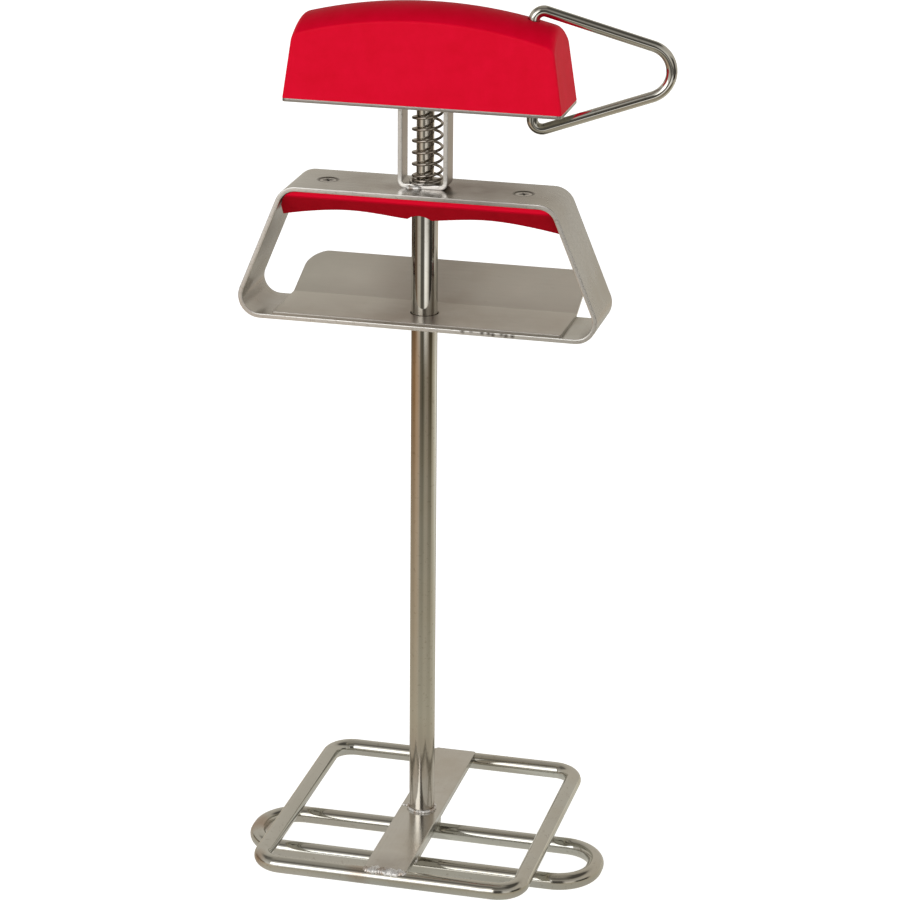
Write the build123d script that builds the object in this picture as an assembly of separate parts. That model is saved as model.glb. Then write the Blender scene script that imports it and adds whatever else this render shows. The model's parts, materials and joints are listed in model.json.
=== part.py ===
from build123d import *
import math
import os

# Spring-loaded hand lifter for hot grill grates.
# Millimetres, +Z up. The origin is on the tube axis, level with the underside of the lower foot,
# and +X runs along the handle towards the hanging loop. The solids are in the rest position.

# ---- driving dimensions ----
WIRE_DIA = 8.0                  # round bar of both feet
ROD_DIA = 8.0
ROD_END_DIA = 6.0               # turned down where it is riveted below and threaded above
ROD_END_RISE = 8.0              # above the base plate
NUT_FLATS = 10.0
NUT_CHAMFER_DIA = 11.2          # round the nut's corners
NUT_THICK = 5.0
WASHER_DIA = 12.0
WASHER_THICK = 1.0
TUBE_OUTER_DIA = 12.0
TUBE_BORE_DIA = 9.0
GUIDE_FIT = 0.1                 # radial running clearance of the rod in its guide holes
SHEET_GAP = 0.5                 # radial room round the tube where it passes through sheet

LOWER_RING_LENGTH = 166.0       # between wire centres, along X
LOWER_RING_DEPTH = 38.0         # between wire centres, along Y
LOWER_RING_CORNER = 17.5
LOWER_RING_SHIFT = 2.0          # the lower foot is welded on slightly off centre
LOWER_STRAP = (8.0, 44.0, 3.0)
STRAP_SINK = 0.5                # how far the strap is seated into its rails
UPPER_RING_LENGTH = 124.0
UPPER_RING_DEPTH = 134.0
UPPER_RING_CORNER = 11.0
REST_JAW_GAP = 8.5              # clear height between the two feet at rest
FOOT_PLATE = (20.0, 136.0, 3.0)
FOOT_PLATE_CORNER = 1.0
FOOT_PLATE_PROUD = 0.5          # the plate stands this much above the wire it is welded to
TUBE_WELD_LEG = 1.5
WELD_ROUND = 0.6                # end rounding of a bead, as a share of its radius

STRIP_DEPTH = 34.0              # along Y
STRIP_THICK = 2.0
FRAME_BOTTOM_Z = 270.0
FRAME_TOP_Z = 332.6
FRAME_TOP_HALF = 62.4           # outer corner points, before the bends are rounded
FRAME_BOTTOM_HALF = 88.2
FRAME_BEND = 10.0               # outside bend radius

SHIELD_HALF_WIDTH = 67.0
SHIELD_THICK = 1.6
SHIELD_BACK_LENGTH = 32.0
SHIELD_BACK_TILT = 22.0         # degrees
SHIELD_CORNER = 12.0
SHIELD_BEND = 1.5               # inside radius of the crease

GRIP_DEPTH = 32.0
GRIP_LIP = 2.2                  # height of the upright edge under the strip
GRIP_TAPER = 35.0               # degrees from upright
GRIP_DROP = 16.0                # height over which the tapered section is drawn
GRIP_HALF_LENGTH = 66.0
GRIP_PAD_HALF = 50.0            # the flat top that bears against the bar, each way from the tube
GRIP_TUBE_HOLE_DIA = 12.6
GRIP_WAVE = ((64.0, 317.5), (51.0, 320.2), (30.0, 322.2), (13.0, 320.6), (6.5, 319.8))
GRIP_NOTCH_RADIUS = 7.8         # the arch in the underside that clears the tube
GRIP_NOTCH_TOP_Z = 321.9
GRIP_NOTCH_ROUND = 1.4
GRIP_GAP = 0.4                  # between the moulding and the strip's legs
GRIP_SCREW_X = 45.3
GRIP_SCREW_DIA = 4.0
GRIP_SCREW_HEAD_DIA = 8.0
GRIP_SCREW_LENGTH = 10.0
COUNTERSINK_DIA = 8.6
COUNTERSINK_DEPTH = 2.0
SCREW_SUNK = 0.25               # the heads sit this far below the bar
GRIP_CROSS = 4.4
GRIP_CROSS_DEPTH = 1.2
CROSS_TURN = 20.0               # degrees
CROSS_ARM = 0.9                 # width of each arm of a driver recess

BRACKET_WIDTH = 23.0            # over both legs
BRACKET_DEPTH = 10.0
BRACKET_THICK = 2.0
BRACKET_BEND = 3.5
BRACKET_TAB = 4.5               # how far each top tab turns out
BRACKET_WELD = (4.6, 0.95)      # length and radius of each bead
BRACKET_WELD_X = 4.0
SLOT_CLEARANCE = 0.2

BASE_Z = 371.5                  # underside of the handle's base plate
BASE_THICK = 1.5
BASE_CORNER = 2.0
COVER_X = 1.7                   # the handle sits slightly off the rod
COVER_LENGTH = 127.0
COVER_DEPTH = 34.0
COVER_TOP_Z = 416.4
COVER_CROWN = 7.2               # rise of the palm surface above its front and back edges
COVER_ARCH_RADIUS = 216.0
COVER_END_DRAFT = 8.5           # degrees
COVER_FACE_DRAFT = 2.0
COVER_END_ROUND = 4.2
COVER_EDGE_ROUND = 1.6
COVER_WALL = 3.0
COVER_SCREWS_X = (-34.0, 34.0)
COVER_SCREW_DIA = 3.5
COVER_SCREW_LENGTH = 12.0
PAN_HEAD_HEIGHT = 2.0
PAN_CROSS = 3.6
PAN_CROSS_DEPTH = 1.2
SCREW_BOSS_DIA = 9.0
LOOP_BOSS_DIA = 11.0
LOOP_BOSS_Z = 399.0             # underside of the loop's bearing boss
ARCH_HALF_SPAN = 25.0           # degrees of arch swept each way, more than the cover needs
WALL_HEIGHT = 60.0              # height over which the drafted walls are drawn

SPRING_DIA = 14.3
SPRING_WIRE = 1.3
SPRING_ACTIVE_COILS = 6
SPRING_END_RISE = 1.365         # climb of each closed end turn
SPRING_POINTS_PER_TURN = 14
SPRING_START = 180.0            # degrees round from +X
SPRING_SHIFT = 1.0              # the spring is loose on the rod and sits to one side
SPRING_SEAT_DIA = 14.4
SPRING_SEAT_BORE = 8.8
SPRING_SEAT_THICK = 1.0

LOOP_WIRE = 5.0
LOOP_AXIS_X = 48.6
LOOP_REST_ANGLE = 13.0          # degrees, swung towards the back
LOOP_ARM_ANGLE = 17.6           # degrees below level
LOOP_UPPER_BEND_Z = 416.7
LOOP_LOWER_BEND_Z = 360.7
LOOP_UPPER_END_Z = 398.4        # where the two ends of the wire stop inside the handle
LOOP_LOWER_END_Z = 379.0
LOOP_BEND = 4.4                 # centre-line radii
LOOP_APEX_BEND = 11.9
LOOP_HOLE_GAP = 0.35            # the bend starts inside the upper hole and needs this room as it turns

# ---- worked out from the above ----
WIRE_R = WIRE_DIA / 2
TUBE_R = TUBE_OUTER_DIA / 2
ROD_HOLE_DIA = ROD_DIA + 2 * GUIDE_FIT
ROD_END_HOLE_DIA = ROD_END_DIA + 0.2
LOOP_HOLE_DIA = LOOP_WIRE + 2 * LOOP_HOLE_GAP
TUBE_HOLE_DIA = TUBE_OUTER_DIA + 2 * SHEET_GAP
LOWER_RING_Z = WIRE_R
UPPER_RING_Z = LOWER_RING_Z + WIRE_DIA + REST_JAW_GAP
LOWER_STRAP_Z = LOWER_RING_Z + WIRE_R - STRAP_SINK
LOWER_STRAP_TOP = LOWER_STRAP_Z + LOWER_STRAP[2]
FOOT_PLATE_TOP = UPPER_RING_Z + WIRE_R + FOOT_PLATE_PROUD
TOP_BAR_UNDER = FRAME_TOP_Z - STRIP_THICK
SHIELD_Z = FRAME_BOTTOM_Z + STRIP_THICK
WEB_TOP = FRAME_TOP_Z + BRACKET_THICK
BASE_TOP = BASE_Z + BASE_THICK
SPRING_BOTTOM = WEB_TOP + SPRING_SEAT_THICK
WASHER_TOP = BASE_TOP + WASHER_THICK
# weld beads: length along X, radius, distance of the bead's line from the tube axis, level
STRAP_WELD = (7.0, 1.4, LOWER_STRAP[1] / 2 + 0.6, LOWER_STRAP_Z)
PLATE_WELD = (18.0, 1.8, FOOT_PLATE[1] / 2 + 1.2, FOOT_PLATE_TOP - 1.2)
BRACKET_LEG_X = BRACKET_WIDTH / 2 - BRACKET_THICK / 2
OVERSHOOT = 1.0                 # how far cutters reach past the faces they open


def upright(diameter, z_low, z_high, x=0.0, y=0.0):
    """A round bar or hole cutter standing on the given level."""
    height = z_high - z_low
    return Pos(x, y, z_low + height / 2) * Cylinder(diameter / 2, height)


def through_hole(diameter, z_low, z_high, x=0.0, y=0.0):
    """A cutter that opens a hole right through the given levels."""
    return upright(diameter, z_low - OVERSHOOT, z_high + OVERSHOOT, x, y)


def block(size_x, size_y, z_low, z_high, x=0.0, y=0.0):
    """A plain block centred on x, y between two levels."""
    height = z_high - z_low
    return Pos(x, y, z_low + height / 2) * Box(size_x, size_y, height)


def wire_ring(length, depth, corner, z, x=0.0):
    """A closed ring of round bar lying flat, sizes between wire centres."""
    path = Pos(x, 0, z) * RectangleRounded(length, depth, corner).wire()
    return sweep((path ^ 0) * Circle(WIRE_R), path=path)


def side_extrusion(sketch, depth):
    """Extrudes an outline drawn in X and Z by depth along Y, centred on Y = 0."""
    return extrude(Plane.XZ * sketch, amount=depth / 2, both=True)


def weld_bead(length, radius, y, z):
    """A rounded bead of weld metal lying along X."""
    bar = Pos(0, y, z) * Rot(0, 90, 0) * Cylinder(radius, length)
    return fillet(bar.edges(), radius * WELD_ROUND)


# ---- feet ----
def make_lower_foot():
    size = (LOWER_RING_LENGTH, LOWER_RING_DEPTH, LOWER_RING_CORNER)
    ring = wire_ring(*size, LOWER_RING_Z, LOWER_RING_SHIFT)
    width, length, _ = LOWER_STRAP
    strap = block(width, length, LOWER_STRAP_Z, LOWER_STRAP_TOP)
    strap -= ring
    strap -= through_hole(ROD_END_DIA, LOWER_STRAP_Z, LOWER_STRAP_TOP)
    return ring, strap


def make_foot_plate(ring):
    width, length, thick = FOOT_PLATE
    plate = block(width, length, FOOT_PLATE_TOP - thick, FOOT_PLATE_TOP)
    plate = fillet(plate.edges().filter_by(Axis.Z), FOOT_PLATE_CORNER)
    plate -= ring
    plate -= through_hole(ROD_HOLE_DIA, FOOT_PLATE_TOP - thick, FOOT_PLATE_TOP)
    return plate


def make_end_welds(ring, strip, weld):
    """One bead at each end of a cross strip, where it meets the ring."""
    length, radius, end_y, z = weld
    beads = []
    for side in (-1, 1):
        bead = weld_bead(length, radius, side * end_y, z)
        beads.append((bead - ring - strip).solids().sort_by(SortBy.VOLUME)[-1])
    return Compound(children=beads)


def make_tube_weld():
    """The bead round the foot of the tube."""
    foot = (TUBE_R + TUBE_WELD_LEG, 0)
    outline = Polyline((TUBE_R, 0), foot, (TUBE_R, TUBE_WELD_LEG), close=True)
    bead = revolve(Plane.XZ * make_face(outline), Axis.Z)
    return Pos(0, 0, FOOT_PLATE_TOP) * bead


# ---- rod and tube ----
def make_push_rod():
    rod = upright(ROD_DIA, LOWER_STRAP_TOP, BASE_Z)
    rod += upright(ROD_END_DIA, LOWER_STRAP_Z, LOWER_STRAP_TOP)
    rod += upright(ROD_END_DIA, BASE_Z, BASE_TOP + ROD_END_RISE)
    return rod


def make_guide_tube():
    tube = upright(TUBE_OUTER_DIA, FOOT_PLATE_TOP, TOP_BAR_UNDER)
    return tube - through_hole(TUBE_BORE_DIA, FOOT_PLATE_TOP, TOP_BAR_UNDER)


def make_rod_washer():
    washer = upright(WASHER_DIA, BASE_TOP, WASHER_TOP)
    return washer - through_hole(ROD_END_HOLE_DIA, BASE_TOP, WASHER_TOP)


def make_rod_nut():
    hexagon = RegularPolygon(NUT_FLATS / 2, 6, major_radius=False)
    nut_top = WASHER_TOP + NUT_THICK
    nut = extrude(Pos(0, 0, WASHER_TOP) * hexagon, amount=NUT_THICK)
    nut = nut & upright(NUT_CHAMFER_DIA, WASHER_TOP, nut_top)
    return nut - through_hole(ROD_END_DIA, WASHER_TOP, nut_top)


# ---- strip frame, shield and finger grip ----
def frame_outline(inset=0.0):
    outer = Polyline(
        (-FRAME_TOP_HALF, FRAME_TOP_Z),
        (FRAME_TOP_HALF, FRAME_TOP_Z),
        (FRAME_BOTTOM_HALF, FRAME_BOTTOM_Z),
        (-FRAME_BOTTOM_HALF, FRAME_BOTTOM_Z),
        close=True,
    )
    face = make_face(outer)
    face = fillet(face.vertices(), FRAME_BEND)
    if inset:
        face = offset(face, amount=-inset)
    return face


def countersunk_cut(x):
    """The hole for one grip screw through the top bar: a cone and a clearance hole."""
    slope_top = COUNTERSINK_DIA / 2
    slope_foot = slope_top - COUNTERSINK_DEPTH
    cone = Cone(slope_foot, slope_top, COUNTERSINK_DEPTH)
    return Pos(x, 0, FRAME_TOP_Z - COUNTERSINK_DEPTH / 2) * cone


def make_grip_frame():
    frame = side_extrusion(frame_outline() - frame_outline(STRIP_THICK), STRIP_DEPTH)
    frame -= through_hole(TUBE_HOLE_DIA, FRAME_BOTTOM_Z, SHIELD_Z)
    frame -= through_hole(ROD_HOLE_DIA, TOP_BAR_UNDER, FRAME_TOP_Z)
    for x in (-GRIP_SCREW_X, GRIP_SCREW_X):
        frame -= countersunk_cut(x)
    return frame


def make_heat_shield():
    """Sheet lying on the bottom bar, its back part bent up."""
    tilt = math.radians(SHIELD_BACK_TILT)
    crease_y = STRIP_DEPTH / 2
    back_y = crease_y + SHIELD_BACK_LENGTH * math.cos(tilt)
    back_z = SHIELD_BACK_LENGTH * math.sin(tilt)
    side = Polyline((-crease_y, 0), (crease_y, 0), (back_y, back_z))
    profile = make_face(offset(side, amount=SHIELD_THICK, side=Side.LEFT))
    lower, upper = profile.vertices().sort_by_distance((crease_y, 0))[:2]
    profile = fillet(lower, SHIELD_BEND + SHIELD_THICK)
    upper = profile.vertices().sort_by_distance((upper.X, upper.Y))[0]
    profile = fillet(upper, SHIELD_BEND)
    sheet = extrude(Plane.YZ * profile, amount=SHIELD_HALF_WIDTH, both=True)
    sheet = Pos(0, 0, SHIELD_Z) * sheet
    outline = Pos(0, (back_y - crease_y) / 2, 0) * Rectangle(2 * SHIELD_HALF_WIDTH, back_y + crease_y)
    back_corners = outline.vertices().sort_by(Axis.Y)[-2:]
    outline = fillet(back_corners, SHIELD_CORNER)
    outline = Pos(0, 0, SHIELD_Z - OVERSHOOT) * outline
    sheet = sheet & extrude(outline, amount=back_z + 2 * SHIELD_THICK + 2 * OVERSHOOT)
    return sheet - through_hole(TUBE_HOLE_DIA, SHIELD_Z, SHIELD_Z + SHIELD_THICK)


def grip_outline():
    """The moulding from the front: flat on top, two finger hollows below, an arch over the tube."""
    half, end_z = GRIP_WAVE[0]
    left = [(-x, z) for x, z in GRIP_WAVE]
    right = list(reversed(GRIP_WAVE))
    under = Spline(*left, *right)
    sides = Polyline((half, end_z), (half, TOP_BAR_UNDER), (-half, TOP_BAR_UNDER), (-half, end_z))
    outline = make_face([under, sides])
    arch = Pos(0, GRIP_NOTCH_TOP_Z - GRIP_NOTCH_RADIUS) * Circle(GRIP_NOTCH_RADIUS)
    outline -= arch
    shoulders = outline.vertices().sort_by_distance((0, GRIP_WAVE[-1][1]))[:2]
    outline = fillet(shoulders, GRIP_NOTCH_ROUND)
    return outline & frame_outline(STRIP_THICK + GRIP_GAP)


def make_finger_grip():
    half_depth = GRIP_DEPTH / 2
    inset = (GRIP_DROP - GRIP_LIP) * math.tan(math.radians(GRIP_TAPER))
    section = Polyline(
        (-half_depth, 0),
        (half_depth, 0),
        (half_depth, -GRIP_LIP),
        (half_depth - inset, -GRIP_DROP),
        (inset - half_depth, -GRIP_DROP),
        (-half_depth, -GRIP_LIP),
        close=True,
    )
    taper = extrude(Plane.YZ * make_face(section), amount=GRIP_HALF_LENGTH, both=True)
    top_pad = block(2 * GRIP_PAD_HALF, GRIP_DEPTH, TOP_BAR_UNDER - GRIP_LIP, TOP_BAR_UNDER)
    body = side_extrusion(grip_outline(), GRIP_DEPTH) + top_pad
    body = body & (Pos(0, 0, TOP_BAR_UNDER) * taper)
    body -= through_hole(GRIP_TUBE_HOLE_DIA, GRIP_WAVE[0][1], TOP_BAR_UNDER)
    for x in (-GRIP_SCREW_X, GRIP_SCREW_X):
        hole_foot = FRAME_TOP_Z - GRIP_SCREW_LENGTH
        body -= upright(GRIP_SCREW_DIA, hole_foot, TOP_BAR_UNDER + OVERSHOOT, x)
    return body


def cross_recess(width, depth):
    """The cross-shaped driver recess, its mouth on Z = 0."""
    arm = Pos(0, 0, -depth / 2) * Box(width, CROSS_ARM, depth)
    return arm + Rot(0, 0, 90) * arm


def make_grip_screws():
    screws = []
    head_top = FRAME_TOP_Z - SCREW_SUNK
    head_foot = FRAME_TOP_Z - COUNTERSINK_DEPTH
    slope_foot = COUNTERSINK_DIA / 2 - COUNTERSINK_DEPTH
    head = Cone(slope_foot, GRIP_SCREW_HEAD_DIA / 2, head_top - head_foot)
    for x in (-GRIP_SCREW_X, GRIP_SCREW_X):
        screw = Pos(x, 0, (head_top + head_foot) / 2) * head
        screw += upright(GRIP_SCREW_DIA, FRAME_TOP_Z - GRIP_SCREW_LENGTH, head_foot, x)
        screw -= Pos(x, 0, head_top) * Rot(0, 0, CROSS_TURN) * cross_recess(GRIP_CROSS, GRIP_CROSS_DEPTH)
        screws.append(screw.solid())
    return Compound(children=screws)


# ---- bracket, spring and their seat ----
def make_guide_bracket():
    """A strip bent to a U, its top tabs turned out to catch on the base plate."""
    leg_top = BASE_TOP + BRACKET_THICK
    height = leg_top - FRAME_TOP_Z
    middle = FRAME_TOP_Z + height / 2
    outer = Pos(0, middle) * Rectangle(BRACKET_WIDTH, height)
    outer = fillet(outer.vertices().group_by(Axis.Y)[0], BRACKET_BEND)
    inner = Pos(0, middle + BRACKET_THICK) * Rectangle(BRACKET_WIDTH - 2 * BRACKET_THICK, height)
    inner = fillet(inner.vertices().group_by(Axis.Y)[0], BRACKET_BEND - BRACKET_THICK)
    outline = outer - inner
    for side in (-1, 1):
        tab_x = side * (BRACKET_WIDTH + BRACKET_TAB) / 2
        outline += Pos(tab_x, leg_top - BRACKET_THICK / 2) * Rectangle(BRACKET_TAB, BRACKET_THICK)
    bracket = side_extrusion(outline, BRACKET_DEPTH)
    return bracket - through_hole(ROD_HOLE_DIA, FRAME_TOP_Z, WEB_TOP)


def make_bracket_welds(frame, bracket):
    """The two short beads that hold the bracket's web to the top bar, one at each edge."""
    beads = []
    for side in (-1, 1):
        at_y = side * BRACKET_DEPTH / 2
        bead = weld_bead(BRACKET_WELD[0], BRACKET_WELD[1], at_y, FRAME_TOP_Z + BRACKET_WELD[1])
        bead = Pos(-side * BRACKET_WELD_X, 0, 0) * bead
        beads.append((bead - frame - bracket).solids().sort_by(SortBy.VOLUME)[-1])
    return Compound(children=beads)


def make_spring_seat():
    seat = upright(SPRING_SEAT_DIA, WEB_TOP, SPRING_BOTTOM)
    return seat - through_hole(SPRING_SEAT_BORE, WEB_TOP, SPRING_BOTTOM)


def make_return_spring():
    """Closed end coils and evenly pitched active coils, drawn as one smooth curve."""
    radius = (SPRING_DIA - SPRING_WIRE) / 2
    low = SPRING_BOTTOM + SPRING_WIRE / 2
    high = BASE_Z - SPRING_WIRE / 2
    pitch = (high - low - 2 * SPRING_END_RISE) / SPRING_ACTIVE_COILS
    turns = SPRING_ACTIVE_COILS + 2
    points = []
    for step in range(turns * SPRING_POINTS_PER_TURN + 1):
        turn = step / SPRING_POINTS_PER_TURN
        if turn <= 1:
            z = low + SPRING_END_RISE * turn
        elif turn >= turns - 1:
            z = high - SPRING_END_RISE * (turns - turn)
        else:
            z = low + SPRING_END_RISE + pitch * (turn - 1)
        angle = 2 * math.pi * turn + math.radians(SPRING_START)
        points.append((radius * math.cos(angle), radius * math.sin(angle), z))
    path = Spline(*points)
    coil = sweep((path ^ 0) * Circle(SPRING_WIRE / 2), path=path)
    return Pos(SPRING_SHIFT, 0, 0) * coil


# ---- handle ----
def cover_solid(inset=0.0):
    """The palm-rest shape: drafted walls under a crown that follows a lengthwise arch."""
    half_depth = COVER_DEPTH / 2 - inset
    half_length = COVER_LENGTH / 2 - inset
    top = COVER_TOP_Z - inset
    crease = top - COVER_CROWN
    section = make_face([
        ThreePointArc((-half_depth, crease), (0, top), (half_depth, crease)),
        Polyline((half_depth, crease), (half_depth, BASE_Z), (-half_depth, BASE_Z), (-half_depth, crease)),
    ])
    arch_axis = Axis((0, 0, COVER_TOP_Z - COVER_ARCH_RADIUS), (0, 1, 0))
    body = revolve(Plane.YZ * section, arch_axis, revolution_arc=ARCH_HALF_SPAN)
    body += revolve(Plane.YZ * section, arch_axis, revolution_arc=-ARCH_HALF_SPAN)
    head_length = half_length - WALL_HEIGHT * math.tan(math.radians(COVER_END_DRAFT))
    head_depth = half_depth - WALL_HEIGHT * math.tan(math.radians(COVER_FACE_DRAFT))
    foot = Pos(0, 0, BASE_TOP) * Rectangle(2 * half_length, 2 * half_depth)
    head = Pos(0, 0, BASE_TOP + WALL_HEIGHT) * Rectangle(2 * head_length, 2 * head_depth)
    return Pos(COVER_X, 0, 0) * (body & loft([foot, head], ruled=True))


def round_cover(shell):
    """Rounds the two ends of the crown, then every other outer edge above the base."""
    by_x = shell.faces().sort_by(Axis.X)
    end_tops = [face.edges().sort_by(Axis.Z)[-1] for face in (by_x[0], by_x[-1])]
    shell = fillet(end_tops, COVER_END_ROUND)
    sharp = [edge for edge in shell.edges() if abs(edge.center().Y) > COVER_DEPTH / 4]
    sharp = [edge for edge in sharp if edge.center().Z > BASE_TOP + 1]
    return fillet(sharp, COVER_EDGE_ROUND)


def make_handle_cover():
    cavity = cover_solid(COVER_WALL)
    bosses = upright(LOOP_BOSS_DIA, LOOP_BOSS_Z, COVER_TOP_Z, LOOP_AXIS_X)
    for x in COVER_SCREWS_X:
        bosses += upright(SCREW_BOSS_DIA, BASE_TOP, COVER_TOP_Z, x)
    cover = round_cover(cover_solid()) - (cavity - bosses)
    cover -= through_hole(LOOP_HOLE_DIA, LOOP_BOSS_Z, COVER_TOP_Z, LOOP_AXIS_X)
    for x in COVER_SCREWS_X:
        cover -= upright(COVER_SCREW_DIA, BASE_TOP - OVERSHOOT, BASE_TOP + COVER_SCREW_LENGTH, x)
    return cover


def make_cover_screws():
    """Pan heads below the base plate, shanks up into the cover's bosses."""
    screws = []
    for x in COVER_SCREWS_X:
        head = upright(2 * COVER_SCREW_DIA, BASE_Z - PAN_HEAD_HEIGHT, BASE_Z, x)
        head = fillet(head.edges().group_by(Axis.Z)[0], PAN_HEAD_HEIGHT / 2)
        shank = upright(COVER_SCREW_DIA, BASE_Z, BASE_TOP + COVER_SCREW_LENGTH, x)
        recess = Rot(180, 0, 0) * cross_recess(PAN_CROSS, PAN_CROSS_DEPTH)
        recess = Pos(x, 0, BASE_Z - PAN_HEAD_HEIGHT) * recess
        screws.append((head + shank - recess).solid())
    return Compound(children=screws)


def make_base_plate():
    plate = Pos(COVER_X, 0, 0) * block(COVER_LENGTH, COVER_DEPTH, BASE_Z, BASE_TOP)
    plate = fillet(plate.edges().filter_by(Axis.Z), BASE_CORNER)
    plate -= through_hole(ROD_END_HOLE_DIA, BASE_Z, BASE_TOP)
    plate -= through_hole(LOOP_HOLE_DIA, BASE_Z, BASE_TOP, LOOP_AXIS_X)
    slot_x = BRACKET_THICK + 2 * SLOT_CLEARANCE
    slot_y = BRACKET_DEPTH + 2 * SLOT_CLEARANCE
    for x in (-BRACKET_LEG_X, BRACKET_LEG_X):
        plate -= block(slot_x, slot_y, BASE_Z - OVERSHOOT, BASE_TOP + OVERSHOOT, x)
    for x in COVER_SCREWS_X:
        plate -= through_hole(COVER_SCREW_DIA, BASE_Z, BASE_TOP, x)
    return plate


def make_hanging_loop():
    slope = math.tan(math.radians(LOOP_ARM_ANGLE))
    apex_reach = (LOOP_UPPER_BEND_Z - LOOP_LOWER_BEND_Z) / 2 / slope
    apex_z = (LOOP_UPPER_BEND_Z + LOOP_LOWER_BEND_Z) / 2
    path = FilletPolyline(
        (0, 0, LOOP_UPPER_END_Z),
        (0, 0, LOOP_UPPER_BEND_Z),
        (apex_reach, 0, apex_z),
        (0, 0, LOOP_LOWER_BEND_Z),
        (0, 0, LOOP_LOWER_END_Z),
        radius=(LOOP_BEND, LOOP_APEX_BEND, LOOP_BEND),
    )
    loop = sweep((path ^ 0) * Circle(LOOP_WIRE / 2), path=path)
    return Pos(LOOP_AXIS_X, 0, 0) * Rot(0, 0, LOOP_REST_ANGLE) * loop


# ---- nodes ----
lower_ring, lower_strap = make_lower_foot()
upper_ring = wire_ring(UPPER_RING_LENGTH, UPPER_RING_DEPTH, UPPER_RING_CORNER, UPPER_RING_Z)
foot_plate = make_foot_plate(upper_ring)
grip_frame = make_grip_frame()
guide_bracket = make_guide_bracket()

nodes = {
    "lower_foot_ring": lower_ring,
    "lower_foot_strap": lower_strap,
    "lower_foot_welds": make_end_welds(lower_ring, lower_strap, STRAP_WELD),
    "push_rod": make_push_rod(),
    "rod_washer": make_rod_washer(),
    "rod_nut": make_rod_nut(),
    "handle_base_plate": make_base_plate(),
    "handle_cover": make_handle_cover(),
    "cover_screws": make_cover_screws(),
    "upper_foot_ring": upper_ring,
    "foot_plate": foot_plate,
    "upper_foot_welds": make_end_welds(upper_ring, foot_plate, PLATE_WELD),
    "tube_weld": make_tube_weld(),
    "guide_tube": make_guide_tube(),
    "grip_frame": grip_frame,
    "heat_shield": make_heat_shield(),
    "finger_grip": make_finger_grip(),
    "grip_screws": make_grip_screws(),
    "guide_bracket": guide_bracket,
    "bracket_welds": make_bracket_welds(grip_frame, guide_bracket),
    "spring_seat": make_spring_seat(),
    "return_spring": make_return_spring(),
    "hanging_loop": make_hanging_loop(),
}

os.makedirs("parts", exist_ok=True)
for name, solid in nodes.items():
    solid.label = name
    export_step(solid, f"parts/{name}.step")
    print(f"{name}: {len(solid.solids())} solid, {solid.volume:.0f} mm3")
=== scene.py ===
import json
import math

import bmesh
import bpy
from mathutils import Euler, Matrix, Vector, noise


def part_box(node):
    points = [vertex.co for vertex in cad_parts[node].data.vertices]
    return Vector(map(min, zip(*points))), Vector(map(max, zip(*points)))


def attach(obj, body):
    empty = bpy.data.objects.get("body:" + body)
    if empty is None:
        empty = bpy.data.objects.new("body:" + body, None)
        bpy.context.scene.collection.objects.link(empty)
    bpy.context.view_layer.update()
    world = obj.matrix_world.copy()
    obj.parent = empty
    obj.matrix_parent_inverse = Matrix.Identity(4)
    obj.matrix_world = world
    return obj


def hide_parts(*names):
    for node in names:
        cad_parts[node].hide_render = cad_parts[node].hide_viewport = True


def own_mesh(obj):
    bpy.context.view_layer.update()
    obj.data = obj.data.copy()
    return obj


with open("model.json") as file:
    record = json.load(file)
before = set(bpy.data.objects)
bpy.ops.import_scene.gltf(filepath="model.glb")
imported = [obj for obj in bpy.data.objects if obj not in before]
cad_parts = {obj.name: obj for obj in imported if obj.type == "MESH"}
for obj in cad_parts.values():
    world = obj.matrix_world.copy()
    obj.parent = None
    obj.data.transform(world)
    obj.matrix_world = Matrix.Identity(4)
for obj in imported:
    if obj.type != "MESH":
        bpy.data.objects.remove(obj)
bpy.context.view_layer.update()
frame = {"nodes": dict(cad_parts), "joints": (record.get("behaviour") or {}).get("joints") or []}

# Looks for the grate lifter. Metres, in the CAD frame: +Z up the tube, +X towards the hanging loop.
MM = 0.001
CORE = "lift_core"
TRIGGER = "trigger_frame"
LOOP = "hang_loop"

# ---- places and sizes taken from the frame ----
JOINTS = {joint["name"]: joint for joint in frame["joints"]}
TUBE_LOW, TUBE_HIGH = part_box("guide_tube")
TUBE_R = TUBE_HIGH.x
PLATE_TOP = TUBE_LOW.z
TOP_BAR_UNDER = TUBE_HIGH.z
BASE_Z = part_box("handle_base_plate")[0].z
BASE_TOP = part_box("handle_base_plate")[1].z
SPRING_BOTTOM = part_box("spring_seat")[1].z
LOOP_X = JOINTS["loop_swing"]["pos_m"][0]

# ---- sizes of the pieces that are made again here, as in the CAD ----
COVER_TOP = 416.4 * MM
WIRE_R = 4.0 * MM
LOWER_RING = (166.0 * MM, 38.0 * MM, 17.5 * MM)     # length, depth, corner radius, between wire centres
LOWER_RING_X = 2.0 * MM
LOWER_RING_Z = 4.0 * MM
UPPER_RING = (124.0 * MM, 134.0 * MM, 11.0 * MM)
UPPER_RING_Z = 20.5 * MM
TUBE_BORE_R = 4.5 * MM
SPRING_R = 7.15 * MM
SPRING_WIRE_R = 0.65 * MM
SPRING_END_RISE = SPRING_WIRE_R * 2.1    # climb of each closed end turn: one wire and a little
SPRING_ACTIVE = 6
SPRING_START = math.pi
SPRING_SHIFT = 1.0 * MM              # the spring is loose on the rod and sits to one side
LOOP_WIRE_R = 2.5 * MM
LOOP_ANGLE = math.radians(13.0)      # swung back from +X at rest
LOOP_ARM_ANGLE = math.radians(17.6)
LOOP_UPPER_Z = 416.7 * MM
LOOP_LOWER_Z = 360.7 * MM
LOOP_BEND = 4.4 * MM
LOOP_APEX_BEND = 11.9 * MM
LOOP_TOP_SOCKET = 18.0 * MM          # the upper end stops this far below the cover's crown
LOOP_LOW_SOCKET = 6.0 * MM           # the lower end stops this far above the base plate

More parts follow.
